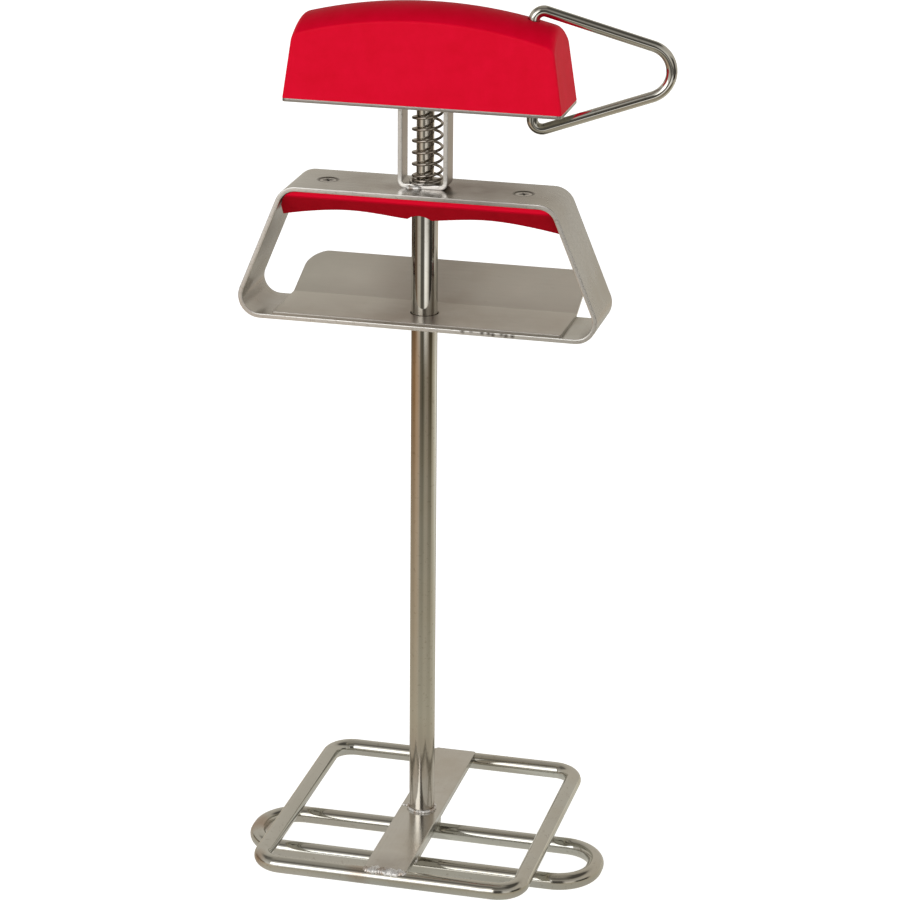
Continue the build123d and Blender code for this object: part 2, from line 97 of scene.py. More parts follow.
# ---- how finely the meshes are divided ----
CORNER_STEP = math.radians(4)
RING_STEP = 6.0 * MM
LOOP_STEP = 4.0 * MM
BEAD_STEP = 0.35 * MM
RING_SIDES = 32
LOOP_SIDES = 28
SPRING_SIDES = 14
SPRING_STEPS = 40                    # points in one turn
TUBE_SIDES = 64
BEAD_SIDES = 14
TUBE_EDGE = 0.3 * MM                 # bevel on the tube's ends
HARD_EDGE = math.radians(30)

# ---- weld beads ----
# length along X, tilt of the crown from straight up towards the front in degrees, half height, half width
PLATE_BEAD = {"length": 21.0 * MM, "tilt": 40, "rise": 1.4 * MM, "reach": 2.3 * MM}
STRAP_BEAD = {"length": 7.5 * MM, "tilt": 45, "rise": 1.0 * MM, "reach": 1.3 * MM}
BRACKET_BEAD = {"length": 7.0 * MM, "tilt": 50, "rise": 0.55 * MM, "reach": 1.1 * MM}
TACK_BEAD = {"length": 3.6 * MM, "tilt": 0, "rise": 0.55 * MM, "reach": 0.6 * MM}
PLATE_BEAD_Y = 68.1 * MM
PLATE_BEAD_Z = 23.9 * MM
PLATE_BACK_BEAD = 0.4                # size of the back bead against the front one
STRAP_BEAD_Y = 22.3 * MM
STRAP_BEAD_Z = 7.6 * MM
STRAP_BACK_BEAD = 1.0
BRACKET_BEAD_X = -4.0 * MM
BRACKET_BEAD_Y = 5.2 * MM
BRACKET_BEAD_Z = 333.2 * MM
FOOT_BEAD_R = TUBE_R + 0.3 * MM
FOOT_BEAD_Z = PLATE_TOP + 0.45 * MM
FOOT_BEAD_RISE = 0.85 * MM
FOOT_BEAD_REACH = 0.7 * MM
TACK_PLACE = (-8.2 * MM, 0.4 * MM, PLATE_TOP + 0.1 * MM)
RIPPLE_STEPS = 4                     # points from one ripple to the next
RIPPLE_DEPTH = 0.09
LUMP_DEPTH = 0.42
LUMP_SIZE = 1.9 * MM
LEAST_TAPER = 0.12

# ---- colours ----
STEEL = (0.595, 0.595, 0.56)
# painted light: the rod's steel is lighter than the rest, standing in for the light that the coils round it
# keep off
LIT_ROD_COLOUR = (0.78, 0.75, 0.69)
SPRING_COLOUR = (0.42, 0.385, 0.35)
SHEET_COLOUR = (0.67, 0.67, 0.645)
BRACKET_COLOUR = (0.51, 0.485, 0.455)
SHIELD_COLOUR = (0.66, 0.635, 0.59)
PLATE_COLOUR = (0.65, 0.64, 0.61)
FASTENER_COLOUR = (0.62, 0.60, 0.58)
COVER_REDS = ((0.79, 0.0006, 0.021), (0.85, 0.0012, 0.028))
# The grip's reds are darker than the cover's: painted shade on its face, which looks down. Its rim colour is
# painted light on the lip above GRIP_RIM_Z.
GRIP_SHADED_REDS = ((0.40, 0.0030, 0.010), (0.46, 0.0040, 0.013))
GRIP_LIT_RIM = (0.80, 0.0010, 0.024)
# Cut edges, main and nicked: a rougher ground edge, painted lighter as well to stand in for the front light
# that it catches.
GROUND_AND_LIT_EDGES = ((0.95, 0.94, 0.92), (0.62, 0.60, 0.56))
PLAIN_EDGES = ((0.46, 0.44, 0.42), (0.30, 0.28, 0.26))
# painted shadow along the shield's cut edges
SHADED_EDGES = ((0.46, 0.44, 0.41), (0.30, 0.28, 0.25))
WELD_BRIGHT = (0.90, 0.89, 0.87)
WELD_TINTED = (0.50, 0.42, 0.35)
WELD_BURNT = (0.06, 0.045, 0.035)
# smoky brown: weld smoke on the frame and foot plate, and painted shade on the shield
SMOKE_AND_SHADE = (0.21, 0.165, 0.14)
# dark brown: real specks of scale, and painted shade in the screw recesses, round the screw heads and in
# front of the bracket's foot
DIRT_AND_SHADE = (0.10, 0.085, 0.07)
# painted light: lighter metal on the left and right of the shield's raised back
PAINTED_SHEEN = (0.86, 0.85, 0.80)
HEAT_TINT = (0.36, 0.21, 0.12)

# Factors that darken and warm a steel's own colour.
STAIN_TINT = (0.93, 0.80, 0.64)
CLOUD_TINT = (0.80, 0.78, 0.73)
PIT_TINT = (0.55, 0.50, 0.45)
WORN_TINT = (0.84, 0.80, 0.74)
SPECK_TINT = (0.70, 0.67, 0.62)

# ---- surface patterns: noise scales in cycles per metre, so that a larger one is finer ----
DRAW_LINES_UV = (30, 1400, 1)        # along and round a swept wire
DRAW_LINES = (900, 900, 14)
STAIN_SCALE = 17.0
CLOUD_SCALE = 38.0
PIT_SCALE = 520.0
ALONG_X = (6, 900, 900)              # brushed along X
ALONG_Y = (900, 6, 900)
SHORT_GRAIN = (60, 500, 500)
EVEN_GRAIN = (400, 400, 400)
BLOTCH_SCALE = 30.0
SPECK_SCALE = 420.0
NICK_SCALE = (700, 1500, 1500)
MOULD_GRAIN_SCALE = 2600.0
MOTTLE_SCALE = 150.0
HANDLED_SCALE = 22.0
WELD_LUMP_SCALE = 600.0
WELD_TINT_SCALE = 230.0
WELD_BURNT_SCALE = 310.0
DRAW_DEPTH = 0.04 * MM
BRUSH_DEPTH = 0.03 * MM
MOULD_DEPTH = 0.06 * MM
WELD_DEPTH = 0.3 * MM
ANISOTROPY = 0.6
DRAWN_ACROSS_Y = (0.04, 1.0, 0.08)   # the direction in which a brushed sheet's reflections are drawn out
DRAWN_ACROSS_X = (1.0, 0.04, 0.08)
EDGE_ROUGHNESS = 0.32
EDGE_ROUND = 0.8 * MM
EDGE_SAMPLES = 6
HEATED_ROUGHNESS = 0.30
PLASTIC_SPECULAR = 0.05
GRIP_RIM_Z = 327.9 * MM

# ---- camera, floor and light ----
CAMERA_PLACE = (0.3529, -1.36211, 0.7091)
CAMERA_TURN = (70.10906, -0.30195, 14.63464)     # degrees about X, Y and Z
CAMERA_LENS = 129.53
CAMERA_SENSOR = 36
CAMERA_SHIFT = (0.0293, 0.0163)
CAMERA_REACH = 50
FLOOR_SIZE = 14
FLOOR_COLOUR = (0.90, 0.90, 0.90, 1)
FLOOR_GLOW = 0.85
CARD_RADIUS = 0.95
CARD_Z = -0.5 * MM
CARD_NEAR = (0.60, 0.59, 0.54)       # the table right under the feet
CARD_MIDDLE = (0.58, 0.53, 0.42)
LIGHT_AIM = (0, 0, 0.25)
WHITE = (1.0, 1.0, 1.0)
BLACK = (0.0, 0.0, 0.0)


# ---- materials ----
class Nodes:
    """Short calls for building one material's node tree."""

    def __init__(self, name):
        self.material = bpy.data.materials.new(name)
        self.material.use_nodes = True
        self.tree = self.material.node_tree
        self.shader = self.tree.nodes["Principled BSDF"]

    def add(self, kind, **settings):
        node = self.tree.nodes.new(kind)
        for key, value in settings.items():
            setattr(node, key, value)
        return node

    def link(self, source, target):
        self.tree.links.new(source, target)

    def set(self, **values):
        for key, value in values.items():
            self.shader.inputs[key.replace("_", " ")].default_value = value

    def place(self, scale=(1, 1, 1), source="Object"):
        """Position on the piece, stretched by scale. source "UV" runs along and round a swept wire."""
        where = self.add("ShaderNodeTexCoord")
        mapping = self.add("ShaderNodeMapping")
        mapping.inputs["Scale"].default_value = scale
        self.link(where.outputs[source], mapping.inputs["Vector"])
        return mapping.outputs["Vector"]

    def noise(self, vector, scale, detail=3.0, rough=0.55):
        node = self.add("ShaderNodeTexNoise")
        node.inputs["Scale"].default_value = scale
        node.inputs["Detail"].default_value = detail
        node.inputs["Roughness"].default_value = rough
        self.link(vector, node.inputs["Vector"])
        return node.outputs["Fac"]

    def remap(self, value, low, high, to_low, to_high):
        node = self.add("ShaderNodeMapRange")
        self.link(value, node.inputs["Value"])
        for key, number in zip(("From Min", "From Max", "To Min", "To Max"), (low, high, to_low, to_high)):
            node.inputs[key].default_value = number
        return node.outputs["Result"]

    def amount(self, value, start, full, most=1.0):
        """0 where value is below start, rising to most where it reaches full."""
        return self.remap(value, start, full, 0.0, most)

    def blend_colours(self, factor, first, second):
        node = self.add("ShaderNodeMix", data_type="RGBA")
        self.link(factor, node.inputs["Factor"])
        for slot, colour in ((6, first), (7, second)):
            if isinstance(colour, tuple):
                node.inputs[slot].default_value = (*colour, 1)
            else:
                self.link(colour, node.inputs[slot])
        return node.outputs[2]

    def math(self, operation, first, second=None):
        node = self.add("ShaderNodeMath", operation=operation)
        for slot, value in enumerate((first, second)):
            if value is None:
                continue
            if isinstance(value, (int, float)):
                node.inputs[slot].default_value = value
            else:
                self.link(value, node.inputs[slot])
        return node.outputs[0]

    def mix(self, factor, first, second):
        """A number between first, a socket, and second, a plain value."""
        node = self.add("ShaderNodeMix")
        self.link(factor, node.inputs["Factor"])
        self.link(first, node.inputs[2])
        node.inputs[3].default_value = second
        return node.outputs[0]

    def distance(self, vector, place):
        node = self.add("ShaderNodeVectorMath", operation="DISTANCE")
        self.link(vector, node.inputs[0])
        node.inputs[1].default_value = place
        return node.outputs["Value"]

    def split(self, vector):
        node = self.add("ShaderNodeSeparateXYZ")
        self.link(vector, node.inputs[0])
        return node.outputs

    def rounded_edges(self, radius):
        """Normals that turn smoothly over the hard edges, as a deburred edge does."""
        node = self.add("ShaderNodeBevel", samples=EDGE_SAMPLES)
        node.inputs["Radius"].default_value = radius
        return node.outputs["Normal"]

    def bump(self, height, strength, distance, normal=None):
        node = self.add("ShaderNodeBump")
        node.inputs["Strength"].default_value = strength
        node.inputs["Distance"].default_value = distance
        self.link(height, node.inputs["Height"])
        if normal is not None:
            self.link(normal, node.inputs["Normal"])
        self.link(node.outputs["Normal"], self.shader.inputs["Normal"])


def tinted(colour, factors):
    return tuple(c * f for c, f in zip(colour, factors))


def polished_steel(name, colour, rough, streak_source="UV", heat_spots=()):
    """Polished bar and tube: fine draw lines, cloudy polish, warm stains and small pits.

    heat_spots are (place, radius, strength) on the piece: straw-brown and duller, where it was heated.
    """
    n = Nodes(name)
    n.set(Metallic=1.0)
    along = n.place(DRAW_LINES_UV, "UV") if streak_source == "UV" else n.place(DRAW_LINES)
    at = n.place()
    streaks = n.noise(along, 1.0, 4.0)
    clouds = n.noise(at, CLOUD_SCALE, 4.0)
    pits = n.noise(at, PIT_SCALE, 2.0)
    stains = n.noise(at, STAIN_SCALE, 5.0, 0.6)
    stained = n.amount(stains, start=0.50, full=0.75, most=0.42)
    pitted = n.amount(pits, start=0.60, full=0.78, most=0.45)
    clouded = n.amount(clouds, start=0.35, full=0.70, most=0.30)
    tone = n.blend_colours(stained, colour, tinted(colour, STAIN_TINT))
    tone = n.blend_colours(pitted, tone, tinted(colour, PIT_TINT))
    tone = n.blend_colours(clouded, tone, tinted(colour, CLOUD_TINT))
    worn = n.remap(clouds, 0.3, 0.75, rough * 0.7, rough * 1.5)
    for place, radius, strength in heat_spots:
        near = n.remap(n.distance(at, place), radius * 0.35, radius, strength, 0.0)
        patchy = n.math("MULTIPLY", near, n.remap(clouds, 0.35, 0.62, 0.35, 1.0))
        tone = n.blend_colours(patchy, tone, HEAT_TINT)
        worn = n.mix(near, worn, HEATED_ROUGHNESS)
    n.link(tone, n.shader.inputs["Base Color"])
    n.link(worn, n.shader.inputs["Roughness"])
    n.bump(streaks, strength=0.05, distance=DRAW_DEPTH)
    return n.material


def brushed_steel(name, colour, rough, grain=ALONG_X, across=DRAWN_ACROSS_Y, grain_depth=0.20,
                  edges=None, patches=()):
    """Brushed strip and sheet: fine grain, faint blotches and specks, rounded cut edges.

    grain is fine across the brushing and coarse along it; across is the direction in which reflections
    are drawn out. edges are the main and the nicked colour of the cut edges, which look along Y.
    patches are (place, radius, fade, strength, colour): smoke and dirt on the surface, and painted shade and
    painted light.
    """
    n = Nodes(name)
    n.set(Metallic=1.0, Anisotropic=ANISOTROPY)
    stretch = n.add("ShaderNodeCombineXYZ")
    for slot, value in zip(stretch.inputs, across):
        slot.default_value = value
    n.link(stretch.outputs[0], n.shader.inputs["Tangent"])
    at = n.place()
    lines = n.noise(n.place(grain), 1.0, 5.0, 0.65)
    blotch = n.noise(at, BLOTCH_SCALE, 5.0, 0.6)
    specks = n.noise(at, SPECK_SCALE, 3.0, 0.6)
    darker = tinted(colour, (1 - grain_depth,) * 3)
    blotched = n.amount(blotch, start=0.42, full=0.72, most=0.85)
    specked = n.amount(specks, start=0.62, full=0.80, most=0.5)
    tone = n.blend_colours(n.amount(lines, start=0.25, full=0.75), darker, colour)
    tone = n.blend_colours(blotched, tone, tinted(colour, WORN_TINT))
    tone = n.blend_colours(specked, tone, tinted(colour, SPECK_TINT))
    worn = n.remap(blotch, 0.25, 0.75, rough * 0.85, rough * 1.25)
    # The cut edges' main colour is partly painted: the bright one is a ground edge painted lighter for the
    # front light it catches, the dark one on the shield is painted shadow.
    if edges:
        facing = n.split(n.add("ShaderNodeTexCoord").outputs["Normal"])
        edge = n.amount(n.math("ABSOLUTE", facing["Y"]), start=0.80, full=0.97)
        nicks = n.noise(n.place(NICK_SCALE), 1.0, 3.0, 0.6)
        edge_tone = n.blend_colours(n.amount(nicks, start=0.56, full=0.72, most=0.8), *edges)
        tone = n.blend_colours(edge, tone, edge_tone)
        worn = n.mix(edge, worn, EDGE_ROUGHNESS)
    for place, radius, fade, strength, patch_colour in patches:
        near = n.remap(n.distance(at, place), radius, radius + fade, strength, 0.0)
        broken = n.math("MULTIPLY", near, n.remap(blotch, 0.30, 0.60, 0.7, 1.15))
        tone = n.blend_colours(broken, tone, patch_colour)
    n.link(tone, n.shader.inputs["Base Color"])
    n.link(worn, n.shader.inputs["Roughness"])
    height = n.math("ADD", lines, specks)
    n.bump(height, strength=0.25, distance=BRUSH_DEPTH, normal=n.rounded_edges(EDGE_ROUND))
    return n.material


def red_plastic(name, reds, lit_rim=None):
    """Satin red moulding, mottled between two reds: fine mould grain, slightly chalky where it is handled.

    The third argument gives (height, colour) of a brighter rim above that height: painted light on the lip.
    """
    n = Nodes(name)
    at = n.place()
    grain = n.noise(at, MOULD_GRAIN_SCALE, 2.0, 0.5)
    mottle = n.noise(at, MOTTLE_SCALE, 4.0, 0.6)
    handled = n.noise(at, HANDLED_SCALE, 3.0, 0.5)
    tone = n.blend_colours(n.amount(mottle, start=0.3, full=0.7), *reds)
    # painted light: a brighter red above the given height, on the grip's rim
    if lit_rim:
        height, lit_colour = lit_rim
        above = n.amount(n.split(at)["Z"], start=height - 0.8 * MM, full=height + 0.4 * MM)
        tone = n.blend_colours(above, tone, lit_colour)
    n.link(tone, n.shader.inputs["Base Color"])
    n.link(n.remap(handled, 0.3, 0.7, 0.42, 0.52), n.shader.inputs["Roughness"])
    n.set(Specular_IOR_Level=PLASTIC_SPECULAR)
    n.bump(grain, strength=0.22, distance=MOULD_DEPTH)
    return n.material


def weld_metal():
    """Bright lumpy weld with dull brown and nearly black burnt patches."""
    n = Nodes("weld_metal")
    n.set(Metallic=0.6)
    at = n.place()
    lumps = n.noise(at, WELD_LUMP_SCALE, 3.0, 0.5)
    tint = n.noise(at, WELD_TINT_SCALE, 3.0, 0.6)
    burnt = n.noise(at, WELD_BURNT_SCALE, 3.0, 0.6)
    tone = n.blend_colours(n.amount(tint, start=0.50, full=0.62), WELD_BRIGHT, WELD_TINTED)
    tone = n.blend_colours(n.amount(burnt, start=0.60, full=0.68, most=0.85), tone, WELD_BURNT)
    n.link(tone, n.shader.inputs["Base Color"])
    n.link(n.remap(lumps, 0.3, 0.7, 0.26, 0.48), n.shader.inputs["Roughness"])
    n.bump(lumps, strength=0.35, distance=WELD_DEPTH)
    return n.material


def patch(x, y, z, radius, fade, strength, colour):
    """A patch of another colour, in millimetres: its centre, its solid radius and the width of its border."""
    return (x * MM, y * MM, z * MM), radius * MM, fade * MM, strength, colour


TOP_BAR_Z = 332.6
SCREW_X = 45.3
FRONT_EDGE_Y = -17
FRAME_PATCHES = [
    patch(22, 0, TOP_BAR_Z, 6, 34, 0.92, SMOKE_AND_SHADE),                # smoked beside the bracket
    patch(-12, -4, TOP_BAR_Z, 2, 8, 0.45, SMOKE_AND_SHADE),
    patch(-30, 0, TOP_BAR_Z, 8, 24, 0.34, SMOKE_AND_SHADE),
    patch(48, 0, TOP_BAR_Z, 12, 22, 0.18, SMOKE_AND_SHADE),
    patch(-79, 0, 276, 6, 20, 0.36, SMOKE_AND_SHADE),                     # lower left bend
    patch(-6, -8.5, TOP_BAR_Z, 1.6, 3.0, 0.95, DIRT_AND_SHADE),           # burnt by the bracket's weld, and painted contact shadow in front of its foot
    patch(13, -8.5, TOP_BAR_Z, 1.4, 3.0, 0.95, DIRT_AND_SHADE),
    patch(-SCREW_X, 0, TOP_BAR_Z, 4.6, 0.8, 0.90, DIRT_AND_SHADE),        # painted shade in the countersinks round the two screw heads
    patch(SCREW_X, 0, TOP_BAR_Z, 4.6, 0.8, 0.80, DIRT_AND_SHADE),
]
for x in (22, 26, 31, 34, 36, 40, 42, 45):                      # specks of scale on the lower front edge
    FRAME_PATCHES.append(patch(x, FRONT_EDGE_Y, 271.2 + x % 3 * 0.5, 0.2, 1.2, 0.95, DIRT_AND_SHADE))
SCREW_RECESS_SHADE = [
    patch(-SCREW_X, 0, TOP_BAR_Z - 0.2, 0.8, 2.2, 0.95, DIRT_AND_SHADE),  # painted shade in the two recesses
    patch(SCREW_X, 0, TOP_BAR_Z - 0.2, 0.6, 1.8, 0.80, DIRT_AND_SHADE),
]
# Painted light and shade on the shield: lighter at the left and right of the raised back, darker in its
# middle, by the tube and on the flat part.
SHIELD_PATCHES = [
    patch(-52, 24, 278, 12, 44, 0.75, PAINTED_SHEEN),
    patch(52, 30, 282, 14, 44, 0.60, PAINTED_SHEEN),
    patch(-6, 30, 284, 6, 24, 0.30, SMOKE_AND_SHADE),
    patch(-4, -4, 274, 10, 14, 0.22, SMOKE_AND_SHADE),
]
for x in (-50, -25, 2, 28, 52):                                 # painted shade: the flat part is darker than the raised back
    SHIELD_PATCHES.append(patch(x, 1, 272, 10, 20, 0.16, SMOKE_AND_SHADE))
PLATE_PATCHES = [patch(0, -64, 25, 3, 12, 0.35, SMOKE_AND_SHADE)]

LOWER_HEAT = [((-84 * MM, -2 * MM, 5 * MM), 11 * MM, 0.8)]
UPPER_HEAT = [((-64 * MM, -67 * MM, 22 * MM), 7.5 * MM, 0.9), ((-12 * MM, -67 * MM, 22 * MM), 8 * MM, 0.5)]
TUBE_HEAT = [((0, 0, 28 * MM), 50 * MM, 0.40)]

LOWER_WIRE = polished_steel("lower_wire", STEEL, 0.08, heat_spots=LOWER_HEAT)
UPPER_WIRE = polished_steel("upper_wire", STEEL, 0.08, heat_spots=UPPER_HEAT)
LOOP_STEEL = polished_steel("loop_wire", STEEL, 0.06)
TUBE_STEEL = polished_steel("polished_tube", STEEL, 0.06, "Object", TUBE_HEAT)
# the rod: painted light in its lighter colour
ROD_STEEL = polished_steel("inner_rod", LIT_ROD_COLOUR, 0.12, "Object")
SPRING_STEEL = polished_steel("spring_wire", SPRING_COLOUR, 0.12)
FRAME_SHEET = brushed_steel("frame_strip", SHEET_COLOUR, 0.24, edges=GROUND_AND_LIT_EDGES, patches=FRAME_PATCHES)
HANDLE_SHEET = brushed_steel("handle_plate", SHEET_COLOUR, 0.28, edges=PLAIN_EDGES)
BRACKET_SHEET = brushed_steel("bracket_strip", BRACKET_COLOUR, 0.28, edges=GROUND_AND_LIT_EDGES)
SHIELD_SHEET = brushed_steel("shield_sheet", SHIELD_COLOUR, 0.36, SHORT_GRAIN, grain_depth=0.12,
                             edges=SHADED_EDGES, patches=SHIELD_PATCHES)
PLATE_SHEET = brushed_steel("foot_plate", PLATE_COLOUR, 0.15, ALONG_Y, DRAWN_ACROSS_X, 0.08,
                            patches=PLATE_PATCHES)
FASTENER = brushed_steel("plated_fastener", FASTENER_COLOUR, 0.26, EVEN_GRAIN, patches=SCREW_RECESS_SHADE)
COVER_RED = red_plastic("cover_red", COVER_REDS)
# the grip: painted shade on its face, painted light on its rim
GRIP_RED = red_plastic("grip_red", GRIP_SHADED_REDS, (GRIP_RIM_Z, GRIP_LIT_RIM))
WELD = weld_metal()


# ---- mesh helpers ----
def new_object(name, mesh, material):
    """Turns a finished bmesh into a smooth-shaded object."""
    data = bpy.data.meshes.new(name)
    mesh.to_mesh(data)
    mesh.free()
    data.materials.append(material)
    for face in data.polygons:
        face.use_smooth = True
    obj = bpy.data.objects.new(name, data)
    bpy.context.scene.collection.objects.link(obj)
    return obj


def neighbours(items, closed):
    """Each item with the one after it, and the last with the first if the row is closed."""
    following = items[1:] + items[:1] if closed else items[1:]
    return list(zip(items, following))


def full_turn(count):
    """Evenly spaced angles round a full turn."""
    return [2 * math.pi * k / count for k in range(count)]


def arc_corner(before, corner, after, radius):
    """Points of the rounded corner between two straight runs."""
    inward = (before - corner).normalized()
    outward = (after - corner).normalized()
    turn = math.pi - inward.angle(outward)
    run = radius * math.tan(turn / 2)
    start = corner + inward * run
    centre = corner + (inward + outward).normalized() * (radius / math.cos(turn / 2))
    normal = inward.cross(outward).normalized()
    count = max(2, round(turn / CORNER_STEP))
    spoke = start - centre
    return [centre + Matrix.Rotation(-turn * k / count, 3, normal) @ spoke for k in range(count + 1)]


def rounded_path(corners, radii, closed):
    """The line through the corners, each rounded to its radius. An open line keeps its two end points."""
    corners = [Vector(c) for c in corners]
    points = []
    last = len(corners) - 1
    for k, corner in enumerate(corners):
        if not closed and k in (0, last):
            points.append(corner)
            continue
        points += arc_corner(corners[k - 1], corner, corners[(k + 1) % len(corners)], radii[k])
    return points


def subdivide_path(points, longest, closed):
    """Adds points on long straight runs so that no step is longer than longest."""
    out = []
    for a, b in neighbours(points, closed):
        count = max(1, math.ceil((b - a).length / longest))
        out += [a.lerp(b, k / count) for k in range(count)]
    if not closed:
        out.append(points[-1])
    return out


def close_ends(mesh, rings):
    mesh.faces.new(list(reversed(rings[0])))
    mesh.faces.new(rings[-1])


def join_rings(mesh, rings, closed):
    """Walls between rings of points that follow one another. An open row is closed at its ends."""
    for ring, following in neighbours(rings, closed):
        for s in range(len(ring)):
            t = (s + 1) % len(ring)
            mesh.faces.new((ring[s], ring[t], following[t], following[s]))
    if not closed:
        close_ends(mesh, rings)


def swept_wire(name, points, radius, closed, material, sides):
    """A round wire along the points, with UVs in metres along it and round it."""
    mesh = bmesh.new()
    uv = mesh.loops.layers.uv.new("UVMap")
    count = len(points)
    tangents = []
    for k in range(count):
        before = points[k - 1] if closed or k else points[k]
        after = points[(k + 1) % count] if closed or k < count - 1 else points[k]
        tangents.append((after - before).normalized())
    side = tangents[0].orthogonal().normalized()
    rings = []
    for centre, tangent in zip(points, tangents):
        side = (side - tangent * side.dot(tangent)).normalized()
        other = tangent.cross(side)
        rings.append([
            mesh.verts.new(centre + radius * (side * math.cos(angle) + other * math.sin(angle)))
            for angle in full_turn(sides)
        ])
    lengths = [0.0]
    for a, b in neighbours(points, True):
        lengths.append(lengths[-1] + (b - a).length)
    around = 2 * math.pi * radius / sides
    for k, (ring, following) in enumerate(neighbours(rings, closed)):
        for s in range(sides):
            t = (s + 1) % sides
            face = mesh.faces.new((ring[s], ring[t], following[t], following[s]))
            corners = ((k, s), (k, s + 1), (k + 1, s + 1), (k + 1, s))
            for loop, (i, j) in zip(face.loops, corners):
                loop[uv].uv = (lengths[i], j * around)
    if not closed:
        close_ends(mesh, rings)
    mesh.normal_update()
    return new_object(name, mesh, material)


def lathe(name, profile, material, sides):
    """Turns (radius, z) points about the tube axis. The profile closes on itself."""
    mesh = bmesh.new()
    rings = []
    for radius, z in profile:
        rings.append([
            mesh.verts.new((radius * math.cos(angle), radius * math.sin(angle), z))
            for angle in full_turn(sides)
        ])
    join_rings(mesh, rings, True)
    bmesh.ops.recalc_face_normals(mesh, faces=mesh.faces)
    return new_object(name, mesh, material)


def round_edges(obj, width):
    """Rounds the hard edges a little and shades the rest smoothly."""
    bevel = obj.modifiers.new("edges", "BEVEL")
    bevel.width = width
    bevel.segments = 2
    bevel.limit_method = "ANGLE"
    bevel.angle_limit = HARD_EDGE
    obj.modifiers.new("shading", "WEIGHTED_NORMAL").keep_sharp = True


# ---- wire feet ----
def ring_path(size, x, z):
    """Centre line of a wire ring with four rounded corners, lying flat at height z."""
    length, depth, corner = size
    half_x, half_y = length / 2, depth / 2
    corners = [(x + toward_x * half_x, toward_y * half_y, z)
               for toward_x, toward_y in ((1, -1), (1, 1), (-1, 1), (-1, -1))]
    return subdivide_path(rounded_path(corners, [corner] * 4, True), RING_STEP, True)


lower_path = ring_path(LOWER_RING, LOWER_RING_X, LOWER_RING_Z)
lower_ring = swept_wire("lower_ring", lower_path, WIRE_R, True, LOWER_WIRE, RING_SIDES)
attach(lower_ring, CORE)
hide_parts("lower_foot_ring")

upper_path = ring_path(UPPER_RING, 0.0, UPPER_RING_Z)
upper_ring = swept_wire("upper_ring", upper_path, WIRE_R, True, UPPER_WIRE, RING_SIDES)
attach(upper_ring, TRIGGER)
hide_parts("upper_foot_ring")


# ---- hanging loop ----
def loop_path():
    """Centre line of the triangular loop: two upright ends, two sloping arms and a rounded point."""
    slope = math.tan(LOOP_ARM_ANGLE)
    middle = (LOOP_UPPER_Z + LOOP_LOWER_Z) / 2
    reach = (LOOP_UPPER_Z - LOOP_LOWER_Z) / 2 / slope
    upper_end = COVER_TOP - LOOP_TOP_SOCKET
    lower_end = BASE_TOP + LOOP_LOW_SOCKET
    corners = [(0, upper_end), (0, LOOP_UPPER_Z), (reach, middle), (0, LOOP_LOWER_Z), (0, lower_end)]
    turned = [(LOOP_X + r * math.cos(LOOP_ANGLE), r * math.sin(LOOP_ANGLE), z) for r, z in corners]
    radii = [0, LOOP_BEND, LOOP_APEX_BEND, LOOP_BEND, 0]
    return subdivide_path(rounded_path(turned, radii, False), LOOP_STEP, False)


loop = swept_wire("wire_loop", loop_path(), LOOP_WIRE_R, False, LOOP_STEEL, LOOP_SIDES)
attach(loop, LOOP)
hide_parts("hanging_loop")


# ---- tube ----
tube = lathe("tube", [
    (TUBE_BORE_R, PLATE_TOP), (TUBE_R, PLATE_TOP), (TUBE_R, TOP_BAR_UNDER), (TUBE_BORE_R, TOP_BAR_UNDER),
], TUBE_STEEL, TUBE_SIDES)
round_edges(tube, TUBE_EDGE)
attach(tube, TRIGGER)
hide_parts("guide_tube")


# ---- spring ----
def spring_path():
    """Centre line of the coil, with one closed turn at each end."""
    low = SPRING_BOTTOM + SPRING_WIRE_R
    high = BASE_Z - SPRING_WIRE_R
    pitch = (high - low - 2 * SPRING_END_RISE) / SPRING_ACTIVE
    turns = SPRING_ACTIVE + 2
    radius = SPRING_R - SPRING_WIRE_R
    points = []
    for step in range(turns * SPRING_STEPS + 1):
        turn = step / SPRING_STEPS
        if turn <= 1:
            z = low + SPRING_END_RISE * turn
        elif turn >= turns - 1:
            z = high - SPRING_END_RISE * (turns - turn)
        else:
            z = low + SPRING_END_RISE + pitch * (turn - 1)
        angle = 2 * math.pi * turn + SPRING_START
        points.append(Vector((SPRING_SHIFT + radius * math.cos(angle), radius * math.sin(angle), z)))
    return points


spring = swept_wire("coil_spring", spring_path(), SPRING_WIRE_R, False, SPRING_STEEL, SPRING_SIDES)
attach(spring, TRIGGER)
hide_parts("return_spring")
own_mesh(spring)


# ---- weld beads ----
def add_bead(mesh, line, out, side, rise, reach, closed, seed):
    """An uneven rope of weld metal along a line of points, laid on in ripples.

    out and side give the two directions across the bead at each point; rise and reach are its half sizes
    along them. An open bead tapers at its ends.
    """
    last = len(line) - 1
    rings = []
    for k, centre in enumerate(line):
        taper = 1.0 if closed else max(LEAST_TAPER, (1 - abs(2 * k / last - 1) ** 5)) ** 0.5
        ripple = 1 + RIPPLE_DEPTH * math.cos(2 * math.pi * k / RIPPLE_STEPS)
        ring = []
        for turn in full_turn(BEAD_SIDES):
            offset = out[k] * (rise * math.cos(turn)) + side[k] * (reach * math.sin(turn))
            lump = 1 + LUMP_DEPTH * noise.noise((centre + offset) / LUMP_SIZE + Vector((seed, 0, 0)))
            ring.append(mesh.verts.new(centre + offset * (taper * ripple * lump)))
        rings.append(ring)
    join_rings(mesh, rings, closed)


